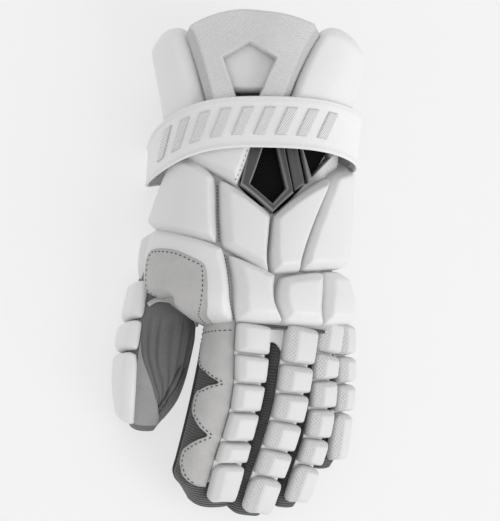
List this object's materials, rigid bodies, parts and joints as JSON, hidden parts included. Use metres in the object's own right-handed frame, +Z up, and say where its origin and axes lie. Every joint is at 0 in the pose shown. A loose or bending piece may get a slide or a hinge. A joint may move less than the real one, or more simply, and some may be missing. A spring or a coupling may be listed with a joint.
{
  "type": "lacrosse glove",
  "caption": "Padded glove for the left hand, with foam blocks on the back and fingers, hollow stalls, a vented wrist, a wide elastic band and a flared floating cuff.",
  "frame": {"origin": "on the flat underside of the palm heel, where the glove rests", "axes": "+Z up from the palm to the back of the hand, +Y from the fingers to the cuff, +X towards the little finger"},
  "size_m": [0.1715, 0.3393, 0.0996],
  "materials": {
    "white_leather": "smooth, soft gloss",
    "silver_weave": "fine diagonal weave, coated",
    "white_elastic": "satin elastic",
    "grey_suede": "napped",
    "grey_leather": "soft, pleated",
    "dark_mesh": "ribbed stretch mesh",
    "black_net": "open net",
    "vent_grey": "moulded, satin"
  },
  "bodies": {
    "root": {"back_shell": "dark_mesh", "palm_shell": "grey_leather", "index_stall": "dark_mesh", "middle_stall": "dark_mesh", "ring_stall": "dark_mesh", "pinky_stall": "dark_mesh", "thumb_stall": "grey_leather", "thumb_pad_1": "white_leather", "thumb_pad_2": "white_leather", "thumb_pad_3": "white_leather", "wrist_pad_thumb": "white_leather", "wrist_pad_middle": "white_leather", "wrist_pad_outer": "white_leather", "wrist_pad_side": "white_leather", "cuff_base_pad": "white_leather", "knuckle_patch": "grey_suede", "knuckle_pad_thumb": "white_leather", "knuckle_pad_middle": "white_leather", "knuckle_pad_outer": "white_leather", "knuckle_pad_side": "white_leather", "thumb_base_pad": "white_leather", "index_web": "white_leather", "index_pad_1": "white_leather", "index_pad_2": "white_leather", "index_pad_3": "white_leather", "index_pad_4": "white_leather", "index_pad_5": "white_leather", "index_pad_6": "white_leather", "index_palm": "grey_leather", "middle_web": "white_leather", "middle_pad_1": "white_leather", "middle_pad_2": "white_leather", "middle_pad_3": "white_leather", "middle_pad_4": "white_leather", "middle_pad_5": "white_leather", "middle_pad_6": "white_leather", "middle_palm": "grey_leather", "ring_web": "white_leather", "ring_pad_1": "white_leather", "ring_pad_2": "white_leather", "ring_pad_3": "white_leather", "ring_pad_4": "white_leather", "ring_pad_5": "white_leather", "ring_pad_6": "white_leather", "ring_palm": "grey_leather", "pinky_web": "white_leather", "pinky_pad_1": "white_leather", "pinky_pad_2": "white_leather", "pinky_pad_3": "white_leather", "pinky_pad_4": "white_leather", "pinky_palm": "grey_leather", "index_panel": "grey_suede", "vent_mesh": "black_net", "vent_frame": "vent_grey", "cuff_tongue": "white_leather", "cuff_plate": "silver_weave", "wing_left": "white_leather", "wing_right": "white_leather", "wrist_band": "white_elastic"}
  },
  "joints": []
}
